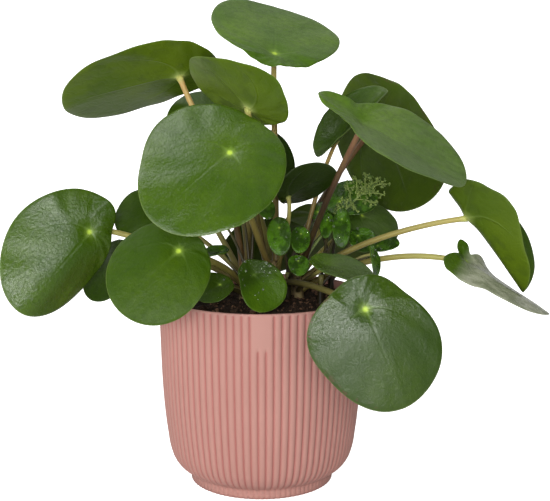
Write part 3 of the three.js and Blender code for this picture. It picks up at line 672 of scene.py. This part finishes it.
def leaf_under():
    """Paler, duller underside with raised veins, its yellow-green partly painted light shining
    through.
    """
    n = Nodes("leaf_under")
    x, y, share = n.attribute("place")
    dark, painted_sheen, young, worn, radius = leaf_look(n)
    veins = vein_mask(n, x, y, share, 0.0017)
    colour = n.paint(
        n.mix(n.ramp(n.noise(22, 2), 0.35, 0.65), (0.058, 0.106, 0.002), (0.084, 0.138, 0.003)),
        (n.ramp(n.noise(75, 3, 0.6), 0.48, 0.66, 0, 0.4), (0.036, 0.066, 0.004)),
        # Painted shade: darker leaves.
        (dark * 0.85, (0.014, 0.028, 0.002)),
        # Painted sheen: greyer towards the tip.
        (painted_sheen * 0.3, (0.2, 0.22, 0.14)),
        (nicks(n, y, share) * worn, NICK_BROWN),
        (young * 0.4, (0.12, 0.24, 0.01)),
        (veins * n.ramp(radius, 0.002, 0.014, 0.4, 0.03), (0.2, 0.27, 0.06)),
        (n.ramp(radius, 0.002, 0.008, 0.6, 0), (0.3, 0.38, 0.1)),  # where the petiole spreads
        (n.ramp(radius, 0.0018, 0.0045, 0.9, 0), (0.45, 0.5, 0.16)),
        (n.ramp(n.noise(150, 5, 0.7), 0.6, 0.72, 0, 0.16), (0.16, 0.2, 0.09)),  # dust
        (n.ramp(share, 0.985, 0.998, 0, 0.3), (0.24, 0.32, 0.1)),  # the margin
    )
    quilt = n.noise(170, 3, 0.6, kind="RIDGED_MULTIFRACTAL", Distortion=0.6, Offset=1)
    normal = n.bump(veins * 0.9 - quilt * 0.25, 0.0006, 0.6)
    return n.finish(Base_Color=colour, Roughness=0.44, Specular_IOR_Level=0.28, Normal=normal)


def petiole_skin():
    """Smooth stalk, olive to brown, darkened by painted shade towards the root."""
    n = Nodes("petiole_skin")
    share = n.attribute("place")[0]
    brown, dim, _ = n.attribute("look")
    streak = n.noise(90, vector=n.position((1, 1, 0.12)))
    # Painted shade: the green, the rust and the dusky brown darken towards the root.
    green = n.mix(n.ramp(share, 0.02, 0.5), (0.12, 0.105, 0.025), (0.27, 0.25, 0.06))
    rust = n.mix(n.ramp(share, 0.25, 0.95), (0.12, 0.05, 0.02), (0.5, 0.27, 0.1))
    dusky = n.mix(n.ramp(share, 0.35, 1.05), (0.035, 0.016, 0.006), (0.24, 0.11, 0.055))
    rust = n.mix(n.ramp(brown, 0.8, 0.95), rust, dusky)
    colour = n.paint(
        green,
        (n.ramp(share, 0.4, 0.95), (0.38, 0.385, 0.105)),
        (brown * n.ramp(streak, 0.25, 0.6, 0.75, 1), rust),
        (n.ramp(share, 0.94, 1, 0, 0.8), (0.45, 0.5, 0.14)),
        (n.ramp(streak, 0.5, 0.8, 0, 0.3), (0.1, 0.08, 0.02)),
        # Painted shade from dim, deepest towards the root.
        (dim * n.ramp(share, 0.45, 0.95, 0.85, 0.25), (0.018, 0.014, 0.006)),
    )
    normal = n.bump(streak, 0.0003, 0.4)
    return n.finish(Base_Color=colour, Roughness=0.42, Specular_IOR_Level=0.3, Normal=normal)


def bark():
    n = Nodes("bark")
    grain = n.noise(220, 5, 0.65, n.position((1, 1, 0.35)))
    colour = n.mix(n.ramp(grain, 0.35, 0.65), (0.05, 0.032, 0.012), (0.2, 0.15, 0.06))
    return n.finish(Base_Color=colour, Roughness=0.75, Normal=n.bump(grain, 0.0008, 0.8))


def pot_plastic():
    """Matte dusty-pink plastic with a very fine moulded grain, and painted shade in the grooves."""
    n = Nodes("pot_plastic")
    cloud = n.noise(14)
    colour = n.mix(n.ramp(cloud, 0.3, 0.7), (0.412, 0.211, 0.177), (0.437, 0.225, 0.19))
    groove = n.attribute("place")[0]
    return n.finish(
        # Painted shade: the grooves are darker and redder, as shade and bounced light in them.
        Base_Color=n.mix(n.ramp(groove, 0.1, 0.95, 0, 0.7), colour, (0.34, 0.1, 0.088)),
        Roughness=n.ramp(cloud, 0.3, 0.7, 0.5, 0.58),
        Specular_IOR_Level=0.25,
        Normal=n.bump(n.noise(2600, 2, 0.6), 0.00006, 0.5),
    )


def soil_matter(name, dark, light):
    n = Nodes(name)
    grain = n.noise(700, 5, 0.7)
    colour = n.mix(n.ramp(grain, 0.35, 0.7), dark, light)
    colour = n.mix(n.ramp(n.noise(90), 0.55, 0.75, 0, 0.5), colour, np.array(dark) * 0.4)
    normal = n.bump(grain, 0.0012, 0.9)
    return n.finish(Base_Color=colour, Roughness=0.85, Specular_IOR_Level=0.2, Normal=normal)


def bud_skin():
    n = Nodes("bud_skin")
    colour = n.mix(n.attribute("look")[0], (0.05, 0.115, 0.012), (0.3, 0.38, 0.09))
    return n.finish(Base_Color=colour, Roughness=0.5, Normal=n.bump(n.noise(1800, 2), 0.0002, 0.5))


def water():
    n = Nodes("water")
    return n.finish(
        Base_Color=(0.9, 1, 0.82, 1),
        Roughness=0.03,
        IOR=1.33,
        Transmission_Weight=0.9,
        Normal=n.bump(n.noise(500, 2), 0.0001, 0.2),
    )


UPPER, UNDER, STALK = range(3)
UPPER_SKINS = {side: leaf_upper("leaf_" + side, **gloss) for side, gloss in UPPER_SIDES.items()}
LEAF_SKINS = [UPPER_SKINS["upper"], leaf_under(), petiole_skin()]


# ---- Leaves ----


def leaf_frame(leaf):
    """Along the midrib, across it, out of the upper side, and the distance to the tip."""
    along = np.subtract(leaf["tip"], leaf["at"])
    reach = np.linalg.norm(along)
    along = along / reach
    up = np.array(leaf["faces"], float)
    up = unit(up - along * np.dot(up, along))
    return along, np.cross(up, along), up, reach


def blade_surface(leaf, serial):
    """The function from shares of the radius and angles to points on and under the upper side."""
    along, across, up, reach = leaf_frame(leaf)
    tip_share = 1 - leaf["heel"]
    # The droop bends the midrib into an arc, which is longer than the straight way to the tip.
    bend = max(1e-6, abs(math.radians(leaf["droop"])) * 2 * tip_share)
    length = reach * (bend / 2) / math.sin(bend / 2) / tip_share
    half_along, half_across = length / 2, leaf["width"] / 2
    centre = half_along - leaf["heel"] * length
    lean = math.copysign(bend / 2, leaf["droop"] or 1)
    k = lean / (tip_share * half_along)
    plan = np.array(leaf["plan"], float)

    def outline(angle):
        turn = (angle / (2 * math.pi) * len(plan) + len(plan)) % len(plan)
        low = np.floor(turn).astype(int)
        around = (plan[(low + step) % len(plan)] for step in (-1, 0, 1, 2))
        c, s = np.cos(angle), np.sin(angle)
        a = (c / half_along) ** 2 + (s / half_across) ** 2
        b = -2 * c * centre / half_along**2
        d = (centre / half_along) ** 2 - 1
        wave = np.sin(3 * angle + serial) + 0.7 * np.sin(5 * angle - 2 * serial)
        scale = smooth_through(*around, turn % 1) * (1 + BLADE.ripple * wave)
        return scale * (-b + np.sqrt(b * b - 4 * a * d)) / (2 * a)

    def section(arc, left, u):
        closing = smoothstep(centre - half_along, centre, u)
        kept, fold, curl = (
            np.where(left, *np.broadcast_to(leaf[key], 2)) for key in ("open", "fold", "curl")
        )
        fold, curl = np.radians(fold) * (kept + (1 - kept) * closing), np.radians(curl)

        def slope_at(s):
            return fold * np.minimum(1, s / BLADE.crease) + curl * s / half_across

        y, z = np.zeros_like(arc), np.zeros_like(arc)
        steps = BLADE.section_steps
        for step in range(steps):
            slope = slope_at((step + 0.5) / steps * arc)
            y += np.cos(slope) * arc / steps
            z += np.sin(slope) * arc / steps
        return y, z, slope_at(arc)

    def surface(share, angle, below, relief=0):
        share, angle, below = np.broadcast_arrays(share, angle, below)
        radius = share * outline(angle)
        u, v = radius * np.cos(angle), radius * np.sin(angle)
        y, z, slope = section(np.abs(v), v > 0, u)
        pitch = lean - k * u
        mid_x, mid_z = np.sin(k * u) / k, -(1 - np.cos(k * u)) / k
        x0 = mid_x * math.cos(lean) - mid_z * math.sin(lean)
        z0 = mid_x * math.sin(lean) + mid_z * math.cos(lean)
        margin = share**3 * leaf["width"] * BLADE.ripple * np.sin(4 * angle + 1.3 * serial)
        dimple = BLADE.dimple * (1 - np.exp(-((radius / BLADE.dimple_radius) ** 2)))
        rise = z + margin + dimple - below * np.cos(slope) + relief
        sideways = np.sign(v) * (y + below * np.sin(slope))
        points = (
            np.array(leaf["at"])
            + (x0 - rise * np.sin(pitch))[..., None] * along
            + sideways[..., None] * across
            + (z0 + rise * np.cos(pitch))[..., None] * up
        )
        return points, np.stack([u * MM, v * MM, share], -1), radius * MM

    return surface


def add_blade(piece, leaf, serial, spokes, look):
    """A blade in fine rings, from the dot over the upper side, round the margin and back under."""
    surface = blade_surface(leaf, serial)
    angle = full_turn(spokes)[::-1]
    thick, shares = BLADE.thickness, np.array(RINGS)
    rounding = thick * 0.5 * smoothstep(BLADE.margin, 1, shares) ** 2
    share = np.concatenate([shares, [1], shares[::-1]])[:, None]
    below = np.concatenate([rounding, [thick * 0.5], thick - rounding[::-1]])[:, None]
    buckle = leaf["width"] * BLADE.buckle * smoothstep(0.25, 0.9, share)
    relief = np.sin(7 * angle + serial + 4 * share) * np.sin(2.3 * angle - serial)
    relief = buckle * (relief + 0.4 * np.sin(15 * angle + 9 * share + 2 * serial))
    grid, place, radius = surface(share, angle[None], below, relief)
    half = len(shares) * spokes
    reach = np.append(radius, (0, 0)) / min(1, leaf["width"] / BLADE.full_dot)
    reach = reach + leaf["faint"] * MM
    piece.add_rings(
        grid,
        [surface(0, 0, depth)[0] for depth in (0, thick)],
        material=[UPPER] * half + [UNDER] * half + [UPPER] * spokes + [UNDER] * spokes,
        place=np.concatenate([place.reshape(-1, 3), np.zeros((2, 3))]),
        look=np.column_stack([np.broadcast_to(look, (len(reach), 2)), reach]),
    )
    return surface


def root_point(stem, height, heading):
    """Where a petiole leaves its stem, inside the bark."""
    foot, top, radius = (np.array(STEMS[stem][key]) for key in ("foot", "top", "radius"))
    share = (height - foot[2]) / (top[2] - foot[2])
    r = radius[0] + (radius[1] - radius[0]) * share - PETIOLE.rooted
    turn = math.radians(heading)
    return foot + (top - foot) * share + r * np.array([math.cos(turn), math.sin(turn), 0])


def petiole_end(leaf):
    """Where a petiole ends inside its blade, and the way up out of the blade."""
    up = leaf_frame(leaf)[2]
    return np.array(leaf["at"]) - up * BLADE.thickness * PETIOLE.sunk, up


def petiole_radii(start, finish, steps):
    """Swollen at the root, slender, and flared where it spreads into the blade."""
    share = np.linspace(0, 1, steps + 1)
    (more, short), (wider, shorter) = PETIOLE.swelling, PETIOLE.flare
    thicker = more * np.exp(-share * short) + wider * np.exp((share - 1) * shorter)
    return (start + (finish - start) * share) * (1 + thicker)


def make_leaf(name, leaf, serial):
    """The blade and its stalk, as two pieces. Returns the blade's surface."""
    width, steps = leaf["width"], PETIOLE.steps
    blade = Piece("leaf_" + name)
    spokes = BLADE.spokes["wide" if width > BLADE.wide else "narrow"]
    surface = add_blade(blade, leaf, serial, spokes, (leaf["shade"], -leaf["worn"]))
    blade.build([UPPER_SKINS[leaf["side"]], *LEAF_SKINS[UNDER:]], ["blade_" + name])

    size = PETIOLE.small if width < PETIOLE.small_width else 1
    radii = petiole_radii(*(r * size for r in PETIOLE.radii), steps)
    root = root_point(*leaf["root"])
    end, up = petiole_end(leaf)
    path = bezier(root, root + leaf["out"], end + leaf["into"], end, steps)
    stalk = Piece("stalk_" + name)
    stalk.sweep(path, radii, PETIOLE.sides, up, look=(leaf["brown"], leaf["dim"], 0))
    stalk.build(LEAF_SKINS[STALK:], ["petiole_" + name])
    return surface


def make_shoot(name, shoot):
    """A short stem with its young leaves, as one piece. Returns the blades' surfaces."""
    piece = Piece("young_" + name)
    foot, top = np.array(shoot["foot"]), np.array(shoot["top"])
    stem_steps, steps = 12, 20
    share = np.linspace(0, 1, stem_steps + 1)
    radii = YOUNG["stem"] * (1 + (YOUNG["taper"] - 1) * share)
    path = foot + (top - foot) * share[:, None]
    piece.sweep(path, radii, 12, material=STALK, look=SHOOT_STALKS["stem"])
    surfaces = []
    for serial, young in enumerate(shoot["leaves"]):
        leaf = {**PLAIN_LEAF, **YOUNG, **dict(zip(("at", "tip", "faces", "width"), young))}
        root = top - (0, 0, YOUNG["below"] + YOUNG["apart"] * serial)
        end, up = petiole_end(leaf)
        out = (end - root) * YOUNG["out"]
        into = -YOUNG["into"] * np.linalg.norm(end - root) * up
        path = bezier(root, root + out, end + into, end, steps)
        radii = petiole_radii(*YOUNG["petiole"], steps)
        piece.sweep(path, radii, 10, up, material=STALK, look=SHOOT_STALKS["petiole"])
        surfaces.append(add_blade(piece, leaf, serial, BLADE.spokes["young"], YOUNG_LOOK))
    piece.build(LEAF_SKINS, [name])
    return surfaces


# ---- Stems, spray and drops ----


def make_stem(name, stem):
    """A woody stem with the ridges and scars of the leaves it has shed."""
    foot, top = np.array(stem["foot"]), np.array(stem["top"])
    share = np.linspace(0, 1, WOOD.steps + 1)[:, None]
    turn = full_turn(WOOD.sides)
    narrower, crown = WOOD.crown
    radius = stem["radius"][0] + (stem["radius"][1] - stem["radius"][0]) * share
    radius = radius + WOOD.scar * np.exp(-((np.sin(share * math.pi * WOOD.scars) / 0.35) ** 2))
    radius = radius * (1 - narrower * smoothstep(crown, 1, share))
    radius = radius + WOOD.knob * np.sin(3 * turn + 22 * share) * np.sin(17 * share)
    ring = np.stack([np.cos(turn), np.sin(turn), np.zeros_like(turn)], 1)
    axis = foot + (top - foot) * share
    piece = Piece("woody_stem_" + name)
    piece.add_rings(axis[:, None] + radius[..., None] * ring, [foot, top])
    piece.build([BARK], ["stem_" + name])


def ball(rows, sides):
    """Points and faces of a unit ball."""
    polar = np.linspace(0, math.pi, rows + 1)[1:-1]
    ring = [
        (math.sin(p) * math.cos(t), math.sin(p) * math.sin(t), -math.cos(p))
        for p in polar
        for t in full_turn(sides)
    ]
    return np.array([*ring, (0, 0, -1), (0, 0, 1)]), closed_faces(rows - 1, sides)


def make_spray():
    """The spray of tiny pale buds: stalk, branches, and a cluster along each branch."""
    piece = Piece("bud_spray")
    stalk_steps, steps = 32, 12
    root, top = root_point(*SPRAY.root), np.array(SPRAY.top)
    stalk = bezier(root, root + SPRAY.out, top + SPRAY.into, top, stalk_steps)
    looks = SPRAY_STALKS
    piece.sweep(stalk, np.linspace(*SPRAY.stalk, stalk_steps + 1), 10, look=looks["stalk"])
    unit_ball, ball_faces = ball(6, 8)
    for share, end in SPRAY.branches:
        start, end = stalk[round(share * stalk_steps)], np.array(end)
        way, sag = end - start, np.array([0, 0, SPRAY.sag])
        path = bezier(start, start + way * 0.35 + sag, end - way * 0.3 + sag, end, steps)
        piece.sweep(path, np.linspace(*SPRAY.branch, steps + 1), 8, look=looks["branch"])
        for twig in range(SPRAY.twigs):
            foot = path[round((0.2 + 0.8 * (twig + 0.5) / SPRAY.twigs) * steps)]
            end = foot + unit(rng.normal(size=3) + (0, 0, 0.5)) * rng.uniform(*SPRAY.twig)
            line = [foot, (foot + end) / 2, end]
            piece.sweep(line, SPRAY.twig_radii, 5, look=looks["stalk"])
            for _ in range(SPRAY.buds_per_twig):
                size = rng.uniform(*SPRAY.bud)
                bud = unit_ball * (1, 1, rng.uniform(0.9, 1.3)) * size + end
                bud = bud + unit(rng.normal(size=3)) * rng.uniform(*SPRAY.bud_away)
                piece.add(bud, ball_faces, look=(rng.uniform(0, 1), 0, 0))
    piece.build([bud_skin()], ["flower_spray"])


def make_drops(wet):
    """Water drops on leaves: wet is a list of surfaces and counts of drops."""
    piece = Piece("water_drops")
    unit_ball, faces = ball(6, 10)
    for surface, count in wet:
        for _ in range(count):
            share, angle = math.sqrt(rng.uniform(0.03, 0.9)), rng.uniform(0, 2 * math.pi)
            here, outer, beside = (
                surface(share + further, angle + turned, 0)[0]
                for further, turned in ((0, 0), (0.02, 0), (0, 0.05))
            )
            normal = unit(np.cross(outer - here, beside - here))
            size = rng.uniform(*DROP.size)
            size *= DROP.large if rng.uniform() < DROP.large_share else 1
            flat = unit_ball - np.outer(unit_ball @ normal, normal) * DROP.flatter
            piece.add(here + flat * size + normal * size * DROP.out, faces)
    piece.build([water()])


# ---- Pot and soil ----


def profile(corners, steps):
    """A smooth line through the corners of a profile, as points of radius and height."""
    corners = np.array(corners, float)
    run = np.concatenate([[0], np.cumsum(np.linalg.norm(np.diff(corners, axis=0), axis=1))])
    tangent = np.gradient(corners, run, axis=0)
    points = []
    for i in range(len(corners) - 1):
        span = run[i + 1] - run[i]
        count = max(2, round(steps * span / run[-1]))
        ends = (corners[i], span * tangent[i], corners[i + 1], span * tangent[i + 1])
        for t in np.arange(count) / count:
            far, leaving, arriving = 3 * t**2 - 2 * t**3, t**3 - 2 * t**2 + t, t**3 - t**2
            points.append(np.dot((1 - far, leaving, far, arriving), ends))
    return [*points, corners[-1]]


def make_pot():
    """Ribs with round crests and narrow grooves, a smooth plate, a thin lip and a short foot."""
    height, lip, ribs = POT.height, POT.lip, POT.ribs
    pitch = np.arange(ribs * POT.per_rib) / POT.per_rib
    turn = 2 * math.pi * pitch / ribs + math.radians(POT.facing - 90)
    groove = (np.abs((pitch + 0.5) % 1 - 0.5) * 2) ** POT.groove_power
    from_front = np.abs((pitch + ribs / 2) % ribs - ribs / 2)
    in_plate = from_front < POT.plate_ribs / 2 - POT.plate_inset

    *outside, (edge, _) = profile(POT.outside, 64)
    outside += [(edge + inwards, height + up) for inwards, up in POT.rim]
    inside = [*profile(POT.inside, 24), *POT.floor]
    radius, z = np.array([*POT.base, *outside, *inside], float).T[..., None]
    ribbed = np.repeat([0, 1, 0], [len(POT.base), len(outside), len(inside)])[:, None]
    low_share, *foot = POT.foot_ribs
    depth = ribbed * groove * smoothstep(height - lip * 0.4, height - lip * 1.6, z)
    depth = depth * (low_share + (1 - low_share) * smoothstep(*foot, z))
    bottom, edge = POT.plate_bottom, POT.plate_edge
    depth = depth * (1 - in_plate * smoothstep(bottom - edge, bottom + edge, z))

    r = radius - POT.rib_depth * depth
    rings = np.stack([r * np.cos(turn), r * np.sin(turn), np.broadcast_to(z, r.shape)], -1)
    place = np.outer(np.append(depth, (0, 0)), (1, 0, 0))
    piece = Piece("ribbed_pot")
    piece.add_rings(rings, [(0, 0, z[0, 0]), (0, 0, z[-1, 0])], place=place)
    piece.build([pot_plastic()], ["pot"])


def soil_height(x, y):
    share = np.hypot(x, y) / SOIL.radius
    mound = SOIL.middle + (SOIL.edge - SOIL.middle) * share**2
    fine = noise(x * 0.9, y * 0.83) * noise(y * 1.4, x * 1.25)
    swell = SOIL.swell * (noise(x / 7, y / 7) - 0.5)
    return mound + swell + SOIL.grain * (fine - 0.3)


def make_soil():
    """The crumbly surface, and loose crumbs and bits of bark lying on it."""
    sides, bottom = SOIL.sides, SOIL.bottom
    turn = full_turn(sides)
    radius = SOIL.radius * np.sqrt(np.linspace(1, 0.0004, SOIL.rings))[:, None]
    x, y = radius * np.cos(turn), radius * np.sin(turn)
    grid = np.stack([x, y, soil_height(x, y)], -1)
    lowest = np.stack([x[0] * 0.9, y[0] * 0.9, np.full(sides, bottom)], 1)
    ground = Piece("potting_soil")
    ground.add_rings([lowest, *grid], [(0, 0, bottom), (0, 0, soil_height(0, 0))])
    skin = soil_matter("soil_ground", (0.014, 0.008, 0.005), (0.04, 0.024, 0.014))
    ground.build([skin], ["soil"])

    crumbs = Piece("soil_crumbs")
    unit_ball, ball_faces = ball(4, 6)
    for _ in range(SOIL.crumbs):
        r, t = SOIL.radius * 0.98 * math.sqrt(rng.uniform()), rng.uniform(0, 2 * math.pi)
        here = np.array([r * math.cos(t), r * math.sin(t)])
        size = rng.uniform(*SOIL.crumb) * (SOIL.large if rng.uniform() < SOIL.large_share else 1)
        shape = unit_ball * rng.uniform(0.5, 1.3, 3)
        shape = shape * (1 + 0.25 * rng.normal(size=(len(unit_ball), 1)))
        spin = np.linalg.qr(rng.normal(size=(3, 3)))[0]
        spin *= np.sign(np.linalg.det(spin))
        at = (*here, soil_height(*here) + size * 0.35)
        crumbs.add(shape @ spin.T * size + at, ball_faces, int(rng.uniform() < 0.3))
    skins = [
        soil_matter("soil_crumb", (0.02, 0.011, 0.006), (0.06, 0.034, 0.02)),
        soil_matter("soil_bark", (0.09, 0.045, 0.025), (0.17, 0.1, 0.06)),
    ]
    crumbs.build(skins, smooth=False)


# ---- Assembly ----

BARK = bark()
make_pot()
make_soil()
for stem_name, stem_sizes in STEMS.items():
    make_stem(stem_name, stem_sizes)
wet_leaves = []
for leaf_serial, (leaf_name, leaf_facts) in enumerate(LEAVES.items()):
    facts = {**PLAIN_LEAF, **leaf_facts}
    wet_leaves.append((make_leaf(leaf_name, facts, leaf_serial), facts["drops"]))
for shoot_name, shoot_sizes in SHOOTS.items():
    wet_leaves += [(s, SHOOT_DROPS) for s in make_shoot(shoot_name, shoot_sizes)]
make_spray()
make_drops(wet_leaves)


# ---- Studio ----


def make_sweep():
    """A white floor that bends up into a wall, and shows white to the camera."""
    n = Nodes("studio_white")
    white = n.finish(
        Base_Color=(0.65, 0.65, 0.65, 1),
        Roughness=0.9,
        Specular_IOR_Level=0.1,
        Emission_Color=(1, 1, 1, 1),
        Emission_Strength=n.camera_ray() * (1 - SURROUND) + SURROUND,
    )
    start, bend = SWEEP.bend_start, SWEEP.bend
    angles = np.linspace(0, math.pi / 2, SWEEP.bend_steps)
    arc = [(start + bend * math.sin(a), bend - bend * math.cos(a)) for a in angles]
    line = [(SWEEP.front, 0), *arc, (start + bend, SWEEP.height)]
    points = [(side * SWEEP.half_width, y, z) for y, z in line for side in (-1, 1)]
    faces = [(2 * i, 2 * i + 1, 2 * i + 3, 2 * i + 2) for i in range(len(line) - 1)]
    mesh = new_mesh("studio_sweep", points, faces, [white])
    new_object("studio_sweep", mesh)


def make_surround():
    """A world that shows white to the camera and lights the plant faintly."""
    n = Nodes("surround", bpy.data.worlds, "Background")
    strength = n.camera_ray() * (1 - SURROUND) + SURROUND
    bpy.context.scene.world = n.finish(Color=(1, 1, 1, 1), Strength=strength)


def make_lamp(name, at, aim, size, power):
    lamp = bpy.data.lights.new(name, "AREA")
    lamp.shape = "RECTANGLE"
    lamp.size, lamp.size_y = size
    lamp.energy = power
    light = new_object(name, lamp)
    light.location = at
    light.visible_glossy = name not in UNMIRRORED
    light.rotation_mode = "QUATERNION"
    light.rotation_quaternion = (Vector(aim) - Vector(at)).to_track_quat("-Z", "Y")


def make_camera():
    data = bpy.data.cameras.new("camera")
    data.sensor_width = 36
    data.lens = data.sensor_width * CAMERA.focal_pixels / CAMERA.image_width
    data.clip_start, data.clip_end = 0.05, 20
    camera = new_object("camera", data)
    camera.location = CAMERA.at
    camera.rotation_euler = (math.radians(90 - CAMERA.pitch), 0, 0)
    bpy.context.scene.camera = camera


make_sweep()
make_surround()
for lamp_name, lamp_facts in LAMPS.items():
    make_lamp(lamp_name, *lamp_facts)
make_camera()
bpy.context.scene.view_settings.view_transform = "Standard"
